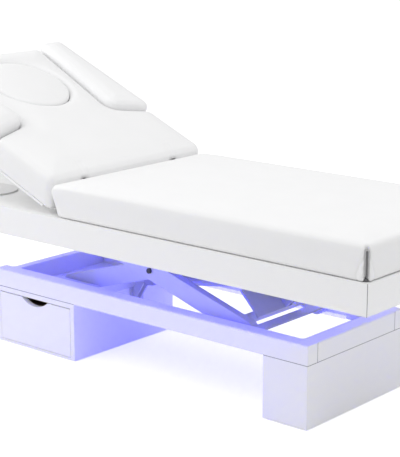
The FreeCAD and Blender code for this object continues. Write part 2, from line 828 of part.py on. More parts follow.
def notch_points():
    """Corners of the near notch that holds a side pad, from the fold towards the head end."""
    return [(hinge_x - pad_outer_start, -bed_side + seat_cushion_inset),
            (hinge_x - pad_inner_start, -pad_inner_y), (hinge_x - backrest_length, -pad_head_y)]


def build_backrest():
    """Backrest board and the central backrest cushion."""
    board_foot = hinge_x - backrest_board_gap
    board_head = hinge_x - backrest_length + backrest_board_end
    side = bed_side - seat_board_inset
    low = backrest_cushion_bottom - thin_board
    plate = box(board_head, board_foot, -side, side, low, backrest_cushion_bottom)
    plate = plate.cut(disc_up(hinge_x - face_centre, 0, face_board_radius, low, backrest_cushion_bottom))
    for reach in peg_reaches:
        hole = disc_up(hinge_x - reach, peg_y, peg_radius + peg_clearance, low, backrest_cushion_bottom)
        plate = plate.cut([hole, mirrored(hole)])
    save("backrest_board", raised(plate.cut(hinge_pockets())))
    edge = bed_side - seat_cushion_inset
    near = notch_points()
    far = [(x, -y) for x, y in near]
    corners = [(backrest_cushion_foot, edge)] + far + near[::-1] + [(backrest_cushion_foot, -edge)]
    radii = [backrest_fold_radius, pad_tip_radius, pad_corner_radius, head_corner_radius,
             head_corner_radius, pad_corner_radius, pad_tip_radius, backrest_fold_radius]
    levels = cushion_levels(backrest_cushion_bottom, backrest_top, backrest_edge_roll, cushion_crown,
                            backrest_crown_reach)
    cushion = padded_form(corners, radii, levels, 0, backrest_cushion_foot)
    cushion = cushion.cut(hinge_pockets()).cut(face_opening())
    save("backrest_cushion", raised(cushion))


def face_opening():
    """Round hole through the cushion with a rolled rim."""
    levels = [(backrest_cushion_bottom, 0), (backrest_top - face_rim, 0)]
    for step in range(1, roll_steps + 1):
        angle = quarter_turn * step / roll_steps
        levels.append((backrest_top - face_rim * (1 - math.sin(angle)), -face_rim * (1 - math.cos(angle))))
    levels.append((backrest_top + cushion_crown, -face_rim - face_rim))
    return round_form(hinge_x - face_centre, face_hole_radius, levels)


def build_face_plug():
    """Removable round plug that closes the face opening."""
    levels = cushion_levels(backrest_cushion_bottom, backrest_top + face_plug_rise, face_plug_roll,
                            face_plug_crown, face_plug_reach)
    save("face_plug", raised(round_form(hinge_x - face_centre, face_hole_radius - face_plug_gap, levels)))


def build_side_pads():
    """Two removable wedge pads in the side notches, each with a pegged base plate."""
    outer, inner, head = notch_points()
    corners = [outer, (head[0], outer[1]), head, inner][::-1]
    radii = [pad_corner_radius, head_corner_radius, head_corner_radius, pad_tip_radius]
    plate_high = backrest_cushion_bottom + pad_plate
    levels = cushion_levels(plate_high, seat_edge_height + pad_proud, pad_roll, pad_crown, pad_crown_reach)
    pad = padded_form(corners, radii, levels, cushion_gap, None)
    plate_inset = pad_plate_inset + cushion_gap
    plate = Part.Face(rounded_section(corners, radii, plate_inset, backrest_cushion_bottom))
    pieces = [plate.extrude(along_z * pad_plate)]
    for reach in peg_reaches:
        pieces.append(disc_up(hinge_x - reach, -peg_y, peg_radius, backrest_cushion_bottom - peg_length,
                              plate_high))
    base = joined(pieces)
    save("side_pad_near", raised(pad))
    save("side_pad_far", raised(mirrored(pad)))
    save("side_pad_base_near", raised(base))
    save("side_pad_base_far", raised(mirrored(base)))


def build_rest_pads():
    """Flat oval pads on the deck that the lowered backrest rests on."""
    radius = rest_pad_width * half
    reach = rest_pad_length * half
    corners = [(rest_pad_x - reach, rest_pad_y - radius), (rest_pad_x + reach, rest_pad_y - radius),
               (rest_pad_x + reach, rest_pad_y + radius), (rest_pad_x - reach, rest_pad_y + radius)]
    far = plate_level(corners, same_radii(radius), deck_top, deck_top + rest_pad_thickness)
    save("backrest_rest_pads", mirrored(far), far)


def build_lift_actuator():
    """Bracket on the cabinet wall, swinging housing with motor, and sliding rod."""
    end_x, end_z = lever_pin_place()
    start = Vector(lift_actuator_x, lift_actuator_y, lift_actuator_z)
    length = math.hypot(end_x - start.x, end_z - start.z)
    angle = math.degrees(math.atan2(start.z - end_z, end_x - start.x))
    half_eye = eye_width * half

    def placed(shape):
        shape = turned(shape, 0, 0, angle)
        shape.translate(start)
        return shape

    eye = bar_across(0, 0, eye_radius, -half_eye, half_eye)
    neck = box(0, gear_case_start, -half_eye, half_eye, -half_eye, half_eye)
    case_end = gear_case_start + gear_case_length
    case = box(gear_case_start, case_end, -lift_tube_radius, motor_offset + motor_radius,
               -gear_case_half_height, gear_case_half_height)
    tube = bar_along(0, 0, lift_tube_radius, case_end, lift_tube_end)
    motor = bar_along(motor_offset, 0, gear_case_half_height, case_end, case_end + motor_length)
    housing = joined([eye, neck, case, tube, motor])
    housing = housing.cut(bar_across(0, 0, lever_pin_radius + pin_clearance, -half_eye, half_eye))
    housing = housing.cut(bar_along(0, 0, lift_rod_radius + pin_clearance, lift_bore_start, lift_tube_end))
    save("lift_actuator_housing", placed(housing))
    rod_eye_radius = lever_pin_radius + lever_pin_play + steel_plate
    rod = joined([bar_along(0, 0, lift_rod_radius, lift_rod_start, length),
                  bar_across(length, 0, rod_eye_radius, -half_eye, half_eye)])
    rod = rod.cut(bar_across(length, 0, lever_pin_radius + lever_pin_play, -half_eye, half_eye))
    save("lift_actuator_rod", placed(rod))
    plate_foot = cabinet_foot + steel_plate
    plate = box(cabinet_foot, plate_foot, start.y - wall_plate_half_width, start.y + wall_plate_half_width,
                wall_plate_low, rail_bottom)
    corners = [(plate_foot, wall_plate_low + wall_plate_half_width), (start.x + eye_radius, start.z - eye_radius),
               (start.x + eye_radius, start.z + eye_radius), (start.x - eye_radius, start.z + eye_radius),
               (plate_foot, rail_bottom)]
    pieces = [plate]
    for y_low in (start.y + half_eye + lug_gap, start.y - half_eye - lug_gap - steel_plate):
        pieces.append(plate_across(corners, [0, steel_plate, eye_radius, eye_radius, 0], y_low, y_low + steel_plate))
    reach = half_eye + lug_gap + steel_plate + steel_sheet
    pin = bar_across(start.x, start.z, lever_pin_radius, start.y - reach, start.y + reach)
    save("lift_actuator_bracket", joined(pieces + [pin]))


def build_backrest_actuator():
    """Fixed housing under the deck, sliding rod with a fork pin, and the slotted lever it pushes."""
    pin_z = hinge_z - slot_lever_drop
    pin_x = hinge_x + slot_lever_drop * math.tan(math.radians(slot_lever_lean))
    y = slot_lever_y
    tube = bar_along(y, pin_z, back_tube_radius, back_tube_head, back_tube_foot)
    case = box(back_tube_foot, back_tube_foot + gear_case_length, y - motor_offset - motor_radius,
               y + back_tube_radius, pin_z - gear_case_half_height, pin_z + gear_case_half_height)
    motor = bar_along(y - motor_offset, pin_z, gear_case_half_height, back_tube_foot - motor_length, back_tube_foot)
    housing = joined([tube, case, motor])
    housing = housing.cut(bar_along(y, pin_z, back_rod_radius + pin_clearance, back_tube_head, back_bore_foot))
    save("backrest_actuator_housing", housing)
    clamps = []
    for x_low in (clamp_head_x, clamp_foot_x):
        clamp = box(x_low, x_low + clamp_length, y - clamp_half_width, y + clamp_half_width, pin_z, deck_bottom)
        clamps.append(clamp.cut(bar_along(y, pin_z, back_tube_radius, x_low, x_low + clamp_length)))
    save("backrest_actuator_clamps", *clamps)
    half_gap = slot_lever_thickness * half + lug_gap
    outer = half_gap + fork_cheek
    fork_foot = pin_x + fork_length
    rod = bar_along(y, pin_z, back_rod_radius, fork_foot, back_rod_foot)
    bridge = box(fork_foot, fork_foot + steel_plate, y - outer, y + outer,
                 pin_z - back_rod_radius, pin_z + back_rod_radius)
    pieces = [rod, bridge, bar_across(pin_x, pin_z, lever_pin_radius, y - outer, y + outer)]
    for y_low in (y + half_gap, y - outer):
        pieces.append(bar_across(pin_x, pin_z, fork_radius, y_low, y_low + fork_cheek))
        pieces.append(box(pin_x, fork_foot, y_low, y_low + fork_cheek,
                          pin_z - back_rod_radius, pin_z + back_rod_radius))
    save("backrest_actuator_rod", joined(pieces))
    save("backrest_lever", slotted_lever())


def slotted_lever():
    """Cranked lever under the backrest board, its slot points at the hinge line."""
    y_low = slot_lever_y - slot_lever_thickness * half
    y_high = y_low + slot_lever_thickness
    margin = slot_half_width + slot_lever_margin * half
    tip = slot_middle_radius + slot_half_length + slot_lever_margin * half
    root = slot_middle_radius - slot_half_length - slot_lever_margin
    blade = plate_across([(hinge_x - margin, hinge_z - tip), (hinge_x + margin, hinge_z - tip),
                          (hinge_x + margin, hinge_z - root), (hinge_x - margin, hinge_z - root)],
                         [margin * half, margin * half, steel_sheet, steel_sheet], y_low, y_high)
    slot_low = hinge_z - slot_middle_radius - slot_half_length
    slot_high = hinge_z - slot_middle_radius + slot_half_length
    slot_radius = slot_half_width - pin_clearance
    slot = plate_across([(hinge_x - slot_half_width, slot_low), (hinge_x + slot_half_width, slot_low),
                         (hinge_x + slot_half_width, slot_high), (hinge_x - slot_half_width, slot_high)],
                        same_radii(slot_radius), y_low, y_high)
    flat_lean = -(slot_lever_lean + rest_angle)
    blade = turned(blade, hinge_x, hinge_z, flat_lean)
    slot = turned(slot, hinge_x, hinge_z, flat_lean)
    high = backrest_cushion_bottom - thin_board
    low = high - strap_thickness
    foot = hinge_x - backrest_board_gap
    head = foot - hinge_flange - hinge_flange
    mount = box(head, foot, slot_lever_y - strap_width * half, slot_lever_y + strap_width * half, low, high)
    lean = math.radians(flat_lean)
    end_x = hinge_x - root * math.sin(lean)
    end_z = hinge_z - root * math.cos(lean)
    crank = plate_across([(head + strap_width, low + steel_sheet), (end_x - margin, end_z - margin),
                          (end_x, end_z), (foot, low + steel_sheet)],
                         [0, steel_plate, steel_sheet, 0], y_low, y_high)
    return raised(joined([mount, crank, blade]).cut(slot))


def build_lights_and_power():
    """Light strips, control box with its inlet, and glides."""
    strip_head = bed_head + board + strip_end_gap
    far = box(strip_head, base_foot, apron_inner - strip_height, apron_inner, apron_bottom + strip_height,
              apron_bottom + strip_height + strip_width)
    save("platform_light_strips", mirrored(far), far)
    far = box(cabinet_foot + strip_end_gap, base_foot - foot_block_length - strip_end_gap,
              rail_inner - strip_height, rail_inner, rail_bottom, rail_bottom + strip_width)
    save("base_light_strips", mirrored(far), far)
    box_foot = control_box_x + control_box_length
    box_low = deck_bottom - control_box_height
    save("control_box", box(control_box_x, box_foot, -control_box_half_width, control_box_half_width,
                            box_low, deck_bottom))
    middle = (box_low + deck_bottom) * half
    save("power_inlet", box(box_foot, box_foot + inlet_length, -inlet_half_width, inlet_half_width,
                            middle - inlet_half_height, middle + inlet_half_height))
    glides = []
    places = (base_head + glide_inset, cabinet_foot - glide_inset,
              base_foot - foot_block_length + glide_inset, base_foot - glide_inset)
    for x in places:
        for y in (glide_inset - base_side, cabinet_back - glide_inset):
            glides.append(disc_up(x, y, glide_radius, 0, glide_height))
    save("floor_glides", *glides)


os.makedirs("parts", exist_ok=True)
build_base_rails()
build_foot_block()
build_cabinet()
build_drawer()
build_outer_arms()
build_inner_arms()
build_rollers()
build_platform_frame()
build_hinge()
build_seat()
build_backrest()
build_face_plug()
build_side_pads()
build_rest_pads()
build_lift_actuator()
build_backrest_actuator()
build_lights_and_power()
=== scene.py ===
import json
import math
from collections import namedtuple

import bmesh
import bpy
import numpy as np
from mathutils import Euler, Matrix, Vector
from mathutils.bvhtree import BVHTree


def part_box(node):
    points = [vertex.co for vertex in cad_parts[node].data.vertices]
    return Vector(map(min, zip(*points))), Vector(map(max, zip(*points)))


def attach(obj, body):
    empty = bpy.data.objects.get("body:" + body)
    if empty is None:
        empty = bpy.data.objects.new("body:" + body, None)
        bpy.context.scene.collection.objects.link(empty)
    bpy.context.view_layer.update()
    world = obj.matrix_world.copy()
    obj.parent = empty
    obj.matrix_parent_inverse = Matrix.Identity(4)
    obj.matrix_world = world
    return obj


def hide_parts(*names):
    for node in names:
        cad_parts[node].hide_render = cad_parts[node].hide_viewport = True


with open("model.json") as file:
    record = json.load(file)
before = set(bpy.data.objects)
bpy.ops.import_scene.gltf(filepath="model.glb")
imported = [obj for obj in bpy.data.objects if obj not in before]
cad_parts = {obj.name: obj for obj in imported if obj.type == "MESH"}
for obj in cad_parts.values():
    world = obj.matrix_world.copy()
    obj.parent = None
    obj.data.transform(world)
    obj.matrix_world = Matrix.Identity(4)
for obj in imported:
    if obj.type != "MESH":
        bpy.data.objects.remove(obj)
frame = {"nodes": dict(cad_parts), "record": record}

scene = bpy.context.scene
nodes = frame["nodes"]
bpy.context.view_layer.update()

# Camera of the photograph, in metres and degrees
camera_place = (3.106, -3.510, 1.593)
camera_tilt = 76.37
camera_turn = 40.58
camera_lens = 113.85
sensor_size = 36

# Lamps: name, place, target, size in metres and power in watts
lamps = (
    ("key", (0.9, -1.1, 4.0), (0.4, 0, 0.4), 3.0, 47),
    ("head_end", (-2.6, -0.9, 1.9), (-0.7, -0.1, 0.5), 0.8, 16),
    ("fill", (0.8, 2.0, 3.6), (0.2, 0, 0.4), 3.0, 16),
    ("side_head", (-1.6, -2.6, 2.2), (-0.7, 0, 0.5), 1.2, 15),
    ("low_foot", (4.0, 0.6, 1.6), (0.9, 0, 0.6), 2.0, 11),
)

# Floor and world
white = (1, 1, 1, 1)
world_light = 0.60
shown_white = 1.0
floor_reach = 30
floor_colour = (0.9, 0.9, 0.9, 1)
floor_roughness = 0.9
floor_glow = 0.55

# Backrest plane and hinge line
backrest_angle = math.radians(23.1)
hinge_point = Vector((-0.205, 0, 0.624))
backrest_up = Vector((math.sin(backrest_angle), 0, math.cos(backrest_angle)))
level_up = Vector((0, 0, 1))

# Colours, linear
leather_colour = (0.86, 0.86, 0.865, 1)
lacquer_colour = (0.88, 0.88, 0.885, 1)
steel_colour = (0.57, 0.58, 0.62, 1)
dark_colour = (0.012, 0.012, 0.014, 1)
dark_grain_share = 0.7
black_plastic_colour = (0.010, 0.010, 0.012, 1)
housing_colour = (0.46, 0.46, 0.50, 1)
# Dark grey of the grey plastic, also used as painted shade on the seat board and on the joint and corner
# lines
grey_plastic_and_shade_colour = (0.12, 0.12, 0.125, 1)
rubber_colour = (0.82, 0.82, 0.82, 1)
laminate_colour = (0.95, 0.95, 0.95, 1)
rod_colour = (0.55, 0.56, 0.58, 1)
plywood_light = (0.62, 0.47, 0.30, 1)
plywood_dark = (0.45, 0.31, 0.18, 1)
glow_colour = (0.022, 0.022, 1.0, 1)
diffuser_colour = (0.5, 0.5, 0.9, 1)
glow_strength = 26
glow_dip = 0.85
diode_scale = 10

# Roughness ranges
leather_rough = (0.40, 0.52)
lacquer_rough = (0.30, 0.36)
laminate_rough = (0.35, 0.45)
plywood_rough = (0.38, 0.52)
dark_board_rough = (0.45, 0.6)
white_steel_rough = (0.30, 0.42)
dark_steel_rough = (0.35, 0.5)
rod_rough = (0.18, 0.34)
plastic_rough = (0.4, 0.55)
grey_plastic_rough = (0.35, 0.5)
rubber_rough = (0.45, 0.6)

# Surface recipes: patterns per metre, depths and softened edges in metres
Surface = namedtuple("Surface", "tone_scale tone_detail tone_dip relief_scale relief_detail relief_strength "
                                "relief_depth soft_edge gloss_scale gloss_detail")
leather_surface = Surface(
    tone_scale=9, tone_detail=3, tone_dip=0.965, relief_scale=900, relief_detail=4, relief_strength=0.22,
    relief_depth=0.0004, soft_edge=0, gloss_scale=40, gloss_detail=3)
lacquer_surface = Surface(
    tone_scale=5, tone_detail=2, tone_dip=0.98, relief_scale=420, relief_detail=2, relief_strength=0.03,
    relief_depth=0.0002, soft_edge=0.0014, gloss_scale=24, gloss_detail=3)
powder_surface = Surface(
    tone_scale=30, tone_detail=3, tone_dip=0.93, relief_scale=1400, relief_detail=3, relief_strength=0.12,
    relief_depth=0.0002, soft_edge=0.001, gloss_scale=60, gloss_detail=3)
moulded_surface = Surface(
    tone_scale=18, tone_detail=2, tone_dip=0.9, relief_scale=1100, relief_detail=4, relief_strength=0.15,
    relief_depth=0.0002, soft_edge=0, gloss_scale=80, gloss_detail=3)
leather_pebble_scale = 520
leather_sheen = 0.08
wood_stretch = (1, 14, 14)
wood_scale = 9
wood_detail = 6
wood_relief = 0.12
wood_relief_depth = 0.0006
rod_stretch = (900, 4, 4)
rod_mark_scale = 1
full_metal = 1

# CAD pieces that look different from the rest of their slot
own_materials = {
    "platform_deck": "white_laminate",
    "backrest_board": "white_laminate",
    # The seat board is dark grey as painted shade: its edge shows as the shadow line under the seat's cover
    "seat_board": "grey_plastic",
}

# Cushion building
cushion_voxel = 0.0095
small_voxel = 0.0065
seat_shrink = 0.003
seat_swell = 0.006
shrink = 0.002
swell = 0.003
sim_pressure = 4
sim_frames = 14
sim_quality = 4
cover_stretch = 12
cover_bending = 0.4
held_height = 0.012
smooth_factor = 0.5
first_smoothing = 2
last_smoothing = 3
finer_levels = 1
pull_share = 0.75
pull_limit = 0.012
tiny = 1e-9

# Lower edge of the seat's cover
edge_hang = 0.014
edge_hang_run = 0.004
edge_hang_height = 0.035
edge_gap = 0.0018

# Ends of the covers at the fold
fold_reach = 0.10
seat_fold_low = 0.022
seat_fold_high = 0.026
seat_fold_drop = 0.009
backrest_fold_low = -0.008
backrest_fold_high = 0.002
backrest_fold_drop = 0

# Foam over the bracket hollows at the fold
filling_inset = 0.0095
filling_half_width = 0.0135
filling_length = 0.075
filling_gap = 0.010
filling_low = 0.612
filling_high = 0.641
unpulled_reach = 0.075
unpulled_margin = 0.003

# Tucked corners of the seat
tuck_inset = 0.009
tuck_reach = 0.060
tuck_full_share = 0.5
tuck_top = 0.618
tuck_fade = 0.020
tuck_width = 0.0065
tuck_depth = 0.018
tuck_cuts = 2
fold_offset = 0.018
fold_width = 0.0035
fold_depth = 0.0022
gather_depth = 0.0007
gather_length = 0.0035

# Painted shade lines: dark strips for the shade in the gaps between boards and in the tucked corners
shade_line_half = 0.0008
shade_line_proud = 0.0002
corner_shade_inset = 0.011
corner_shade_half = 0.0022
corner_shade_rise = 0.006

# Faces of a box whose corners run with x fastest and z slowest
box_faces = ((0, 2, 3, 1), (4, 5, 7, 6), (0, 1, 5, 4), (2, 6, 7, 3), (0, 4, 6, 2), (1, 3, 7, 5))


def new_material(name):
    """Node material with its node tree and main shader."""
    material = bpy.data.materials.new(name)
    material.use_nodes = True
    return material, material.node_tree, material.node_tree.nodes["Principled BSDF"]


def object_coordinates(tree):
    """Coordinates fixed to the piece, in metres."""
    return tree.nodes.new("ShaderNodeTexCoord").outputs["Object"]


def stretched_coordinates(tree, stretch):
    """Coordinates fixed to the piece and scaled along each axis."""
    mapping = tree.nodes.new("ShaderNodeMapping")
    mapping.inputs["Scale"].default_value = stretch
    tree.links.new(object_coordinates(tree), mapping.inputs["Vector"])
    return mapping.outputs["Vector"]


def add_bump(tree, shader, height, strength, depth, soft_edge=0):
    """Surface relief from a height value, over softened edges where a size for them is given."""
    bump = tree.nodes.new("ShaderNodeBump")
    if soft_edge:
        bevel = tree.nodes.new("ShaderNodeBevel")
        bevel.inputs["Radius"].default_value = soft_edge
        tree.links.new(bevel.outputs["Normal"], bump.inputs["Normal"])
    bump.inputs["Strength"].default_value = strength
    bump.inputs["Distance"].default_value = depth
    tree.links.new(height, bump.inputs["Height"])
    tree.links.new(bump.outputs["Normal"], shader.inputs["Normal"])


def noise(tree, scale, detail):
    """Noise value over the piece."""
    node = tree.nodes.new("ShaderNodeTexNoise")
    node.inputs["Scale"].default_value = scale
    node.inputs["Detail"].default_value = detail
    tree.links.new(object_coordinates(tree), node.inputs["Vector"])
    return node.outputs["Fac"]


def remapped(tree, value, low, high):
    """Value between two limits."""
    node = tree.nodes.new("ShaderNodeMapRange")
    node.inputs["To Min"].default_value = low
    node.inputs["To Max"].default_value = high
    tree.links.new(value, node.inputs["Value"])
    return node.outputs["Result"]


def shades(tree, value, dark, light):
    """Colour between two shades."""
    ramp = tree.nodes.new("ShaderNodeValToRGB")
    ramp.color_ramp.elements[0].color = dark
    ramp.color_ramp.elements[1].color = light
    tree.links.new(value, ramp.inputs["Fac"])
    return ramp.outputs["Color"]


def combined(tree, operation, first, second):
    """Two values combined by a math operation."""
    node = tree.nodes.new("ShaderNodeMath")
    node.operation = operation
    tree.links.new(first, node.inputs[0])
    tree.links.new(second, node.inputs[1])
    return node.outputs["Value"]


def darker(colour, share):
    """Colour multiplied by a share."""
    red, green, blue, _ = colour
    return (red * share, green * share, blue * share, 1)


def add_tone(tree, shader, colour, surface):
    """Base colour with slight tone changes."""
    value = noise(tree, surface.tone_scale, surface.tone_detail)
    tone = shades(tree, value, darker(colour, surface.tone_dip), colour)
    tree.links.new(tone, shader.inputs["Base Color"])


def add_gloss(tree, shader, surface, rough):
    """Roughness that varies a little over the piece."""
    value = noise(tree, surface.gloss_scale, surface.gloss_detail)
    tree.links.new(remapped(tree, value, *rough), shader.inputs["Roughness"])


def plain_surface(name, colour, surface, rough):
    """Lacquered, sprayed or moulded material from a surface recipe."""
    material, tree, shader = new_material(name)
    add_tone(tree, shader, colour, surface)
    relief = noise(tree, surface.relief_scale, surface.relief_detail)
    add_bump(tree, shader, relief, surface.relief_strength, surface.relief_depth, surface.soft_edge)
    add_gloss(tree, shader, surface, rough)
    return material


def white_leather():
    """Imitation leather: fine pebbled grain, soft gloss and slight tone changes."""
    material, tree, shader = new_material("white_leather")
    surface = leather_surface
    add_tone(tree, shader, leather_colour, surface)
    pebbles = tree.nodes.new("ShaderNodeTexVoronoi")
    pebbles.feature = "SMOOTH_F1"
    pebbles.inputs["Scale"].default_value = leather_pebble_scale
    tree.links.new(object_coordinates(tree), pebbles.inputs["Vector"])
    fine = noise(tree, surface.relief_scale, surface.relief_detail)
    grain = combined(tree, "ADD", pebbles.outputs["Distance"], fine)
    add_bump(tree, shader, grain, surface.relief_strength, surface.relief_depth)
    add_gloss(tree, shader, surface, leather_rough)
    shader.inputs["Sheen Weight"].default_value = leather_sheen
    return material


def wood_grain(name, dark, light, rough):
    """Board with long grain lines."""
    material, tree, shader = new_material(name)
    grain = tree.nodes.new("ShaderNodeTexNoise")
    grain.inputs["Scale"].default_value = wood_scale
    grain.inputs["Detail"].default_value = wood_detail
    tree.links.new(stretched_coordinates(tree, wood_stretch), grain.inputs["Vector"])
    lines = grain.outputs["Fac"]
    tree.links.new(shades(tree, lines, dark, light), shader.inputs["Base Color"])
    add_bump(tree, shader, lines, wood_relief, wood_relief_depth)
    tree.links.new(remapped(tree, lines, *rough), shader.inputs["Roughness"])
    return material


def bright_rod():
    """Ground steel rod with fine marks round it."""
    material, tree, shader = new_material("bright_rod")
    marks = tree.nodes.new("ShaderNodeTexNoise")
    marks.inputs["Scale"].default_value = rod_mark_scale
    tree.links.new(stretched_coordinates(tree, rod_stretch), marks.inputs["Vector"])
    shader.inputs["Base Color"].default_value = rod_colour
    shader.inputs["Metallic"].default_value = full_metal
    tree.links.new(remapped(tree, marks.outputs["Fac"], *rod_rough), shader.inputs["Roughness"])
    return material


def light_strip():
    """Glowing diffuser with the row of diodes showing faintly through it."""
    material, tree, shader = new_material("light_strip")
    shader.inputs["Base Color"].default_value = diffuser_colour
    shader.inputs["Emission Color"].default_value = glow_colour
    waves = tree.nodes.new("ShaderNodeTexWave")
    waves.inputs["Scale"].default_value = diode_scale
    tree.links.new(object_coordinates(tree), waves.inputs["Vector"])
    strength = remapped(tree, waves.outputs["Fac"], glow_strength * glow_dip, glow_strength)
    tree.links.new(strength, shader.inputs["Emission Strength"])
    return material


def build_materials():
    """All materials of the object, by name."""
    dark_grain = darker(dark_colour, dark_grain_share)
    made = {
        "white_leather": white_leather(),
        "drawer_board": wood_grain("drawer_board", plywood_dark, plywood_light, plywood_rough),
        "dark_board": wood_grain("dark_board", dark_grain, dark_colour, dark_board_rough),
        "bright_rod": bright_rod(),
        "light_strip": light_strip(),
    }
    plain = (
        ("lacquered_board", lacquer_colour, lacquer_surface, lacquer_rough),
        ("white_laminate", laminate_colour, moulded_surface, laminate_rough),
        ("white_steel", steel_colour, powder_surface, white_steel_rough),
        ("dark_steel", dark_colour, powder_surface, dark_steel_rough),
        ("black_plastic", black_plastic_colour, moulded_surface, plastic_rough),
        ("pale_housing", housing_colour, moulded_surface, plastic_rough),
        ("grey_plastic", grey_plastic_and_shade_colour, moulded_surface, grey_plastic_rough),
        ("pad_rubber", rubber_colour, moulded_surface, rubber_rough),
    )
    for name, colour, surface, rough in plain:
        made[name] = plain_surface(name, colour, surface, rough)
    return made


def dress_cad_nodes():
    """Materials on the hard parts."""
    for part in frame["record"]["subparts"]:
        name = own_materials.get(part["node"], part["material_slot"])
        for slot in nodes[part["node"]].material_slots:
            slot.material = materials[name]


def bake(piece):
    """Applies the modifiers of a piece to its mesh."""
    graph = bpy.context.evaluated_depsgraph_get()
    baked = bpy.data.meshes.new_from_object(piece.evaluated_get(graph))
    old = piece.data
    piece.modifiers.clear()
    piece.data = baked
    bpy.data.meshes.remove(old)


def points_of(piece):
    """Vertex places as an array."""
    points = np.zeros(len(piece.data.vertices) * 3, np.float32)
    piece.data.vertices.foreach_get("co", points)
    return points.reshape(-1, 3).astype(float)


def set_points(piece, points):
    """Writes vertex places back."""
    piece.data.vertices.foreach_set("co", points.astype(np.float32).ravel())
    piece.data.update()


def normals_of(piece):
    """Vertex normals as an array."""
    normals = np.zeros(len(piece.data.vertices) * 3, np.float32)
    piece.data.vertex_normals.foreach_get("vector", normals)
    return normals.reshape(-1, 3).astype(float)


def bell(values, width):
    """Smooth hump of height one."""
    return np.exp(-(values / width) ** 2)


def faded(values, start, end):
    """One before the start, zero after the end and a smooth fall between."""
    share = np.clip((values - start) / (end - start), 0, 1)
    return 1 - share * share * (3 - 2 * share)


def add_box(mesh, corners):
    """Closed box on eight places that run with x fastest and z slowest."""
    placed = [mesh.verts.new(corner) for corner in corners]
    for face in box_faces:
        mesh.faces.new([placed[index] for index in face])


def hinge_filling(mesh):
    """Foam that closes the bracket hollows at the fold, seen from above."""
    tilt = Euler((0, backrest_angle, 0))
    for side in (edge.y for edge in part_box("hinge_pins")):
        middle = side - math.copysign(filling_inset, side)
        corners = []
        for z in (filling_low, filling_high):
            for y in (middle - filling_half_width, middle + filling_half_width):
                for x in (-filling_length, -filling_gap):
                    turned = Vector((x, 0, z - hinge_point.z))
                    turned.rotate(tilt)
                    corners.append(hinge_point + turned + Vector((0, y, 0)))
        add_box(mesh, corners)


def add_smoothing(piece, rounds):
    """Smoothing of a cover, to be baked."""
    smooth = piece.modifiers.new("smooth", "SMOOTH")
    smooth.factor = smooth_factor
    smooth.iterations = rounds


def remeshed_copy(node, name, voxel, inset):
    """Evenly meshed and slightly smaller copy of a soft solid."""
    shape = bmesh.new()
    shape.from_mesh(nodes[node].data)
    if node == "backrest_cushion":
        hinge_filling(shape)
    mesh = bpy.data.meshes.new(name)
    shape.to_mesh(mesh)
    shape.free()
    piece = bpy.data.objects.new(name, mesh)
    scene.collection.objects.link(piece)
    remesh = piece.modifiers.new("remesh", "REMESH")
    remesh.mode = "VOXEL"
    remesh.voxel_size = voxel
    remesh.use_smooth_shade = True
    add_smoothing(piece, first_smoothing)
    bake(piece)
    set_points(piece, points_of(piece) - normals_of(piece) * inset)
    return piece


def inflate(piece, up, pressure, cap):
    """Fills the cover with soft pressure while its underside stays on the board."""
    start = points_of(piece)
    heights = start @ np.array(up)
    lowest = heights.min()
    held = piece.vertex_groups.new(name="held")
    held.add([int(index) for index in np.nonzero(heights < lowest + held_height)[0]], 1, "REPLACE")
    cloth = piece.modifiers.new("Cloth", "CLOTH")
    cloth.settings.quality = sim_quality
    cloth.settings.use_pressure = True
    cloth.settings.uniform_pressure_force = pressure
    cloth.settings.vertex_group_mass = "held"
    cloth.settings.effector_weights.gravity = 0
    cloth.settings.tension_stiffness = cover_stretch
    cloth.settings.compression_stiffness = cover_stretch
    cloth.settings.bending_stiffness = cover_bending
    cloth.point_cache.frame_start = 1
    cloth.point_cache.frame_end = sim_frames
    for number in range(1, sim_frames + 1):
        scene.frame_set(number)
    bake(piece)
    scene.frame_set(1)
    moved = points_of(piece) - start
    lengths = np.linalg.norm(moved, axis=1)
    share = np.minimum(1, cap / np.maximum(lengths, tiny))
    set_points(piece, start + moved * share[:, None])


def over_filling(points):
    """Which points lie over the closed bracket hollows at the fold."""
    pin_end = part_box("hinge_pins")[1].y
    off_middle = np.abs(np.abs(points[:, 1]) - (pin_end - filling_inset))
    beside = off_middle < filling_half_width + unpulled_margin
    from_hinge = np.hypot(points[:, 0] - hinge_point.x, points[:, 2] - hinge_point.z)
    return beside & (from_hinge < unpulled_reach)


def pull_to_solid(piece, node, share):
    """Draws the cover back towards the form of its soft solid, as a tight cover does."""
    solid = nodes[node].data
    places = [vertex.co for vertex in solid.vertices]
    tree = BVHTree.FromPolygons(places, [list(face.vertices) for face in solid.polygons])
    points = points_of(piece)
    filled = over_filling(points) if node == "backrest_cushion" else np.zeros(len(points), bool)
    for index, point in enumerate(points):
        if filled[index]:
            continue
        nearest, _, _, distance = tree.find_nearest(Vector(point))
        if distance < pull_limit:
            points[index] += (np.array(nearest) - point) * share
    set_points(piece, points)


def smooth_cover(piece, node):
    """Finer and smooth cover over the soft solid."""
    subdivision = piece.modifiers.new("finer", "SUBSURF")
    subdivision.levels = finer_levels
    subdivision.render_levels = finer_levels
    bake(piece)
    pull_to_solid(piece, node, pull_share)
    add_smoothing(piece, last_smoothing)
    bake(piece)
    piece.data.polygons.foreach_set("use_smooth", [True] * len(piece.data.polygons))


def finish_cushion(piece, node, body):
    """Material, body and place of a finished cushion."""
    piece.data.materials.clear()
    piece.data.materials.append(materials["white_leather"])
    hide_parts(node)
    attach(piece, body)


def soft_piece(node, body, up, voxel, inset, cap):
    """Padded cover in place of a soft solid."""
    piece = remeshed_copy(node, node + "_cover", voxel, inset)
    inflate(piece, up, sim_pressure, cap)
    smooth_cover(piece, node)
    finish_cushion(piece, node, body)
    return piece


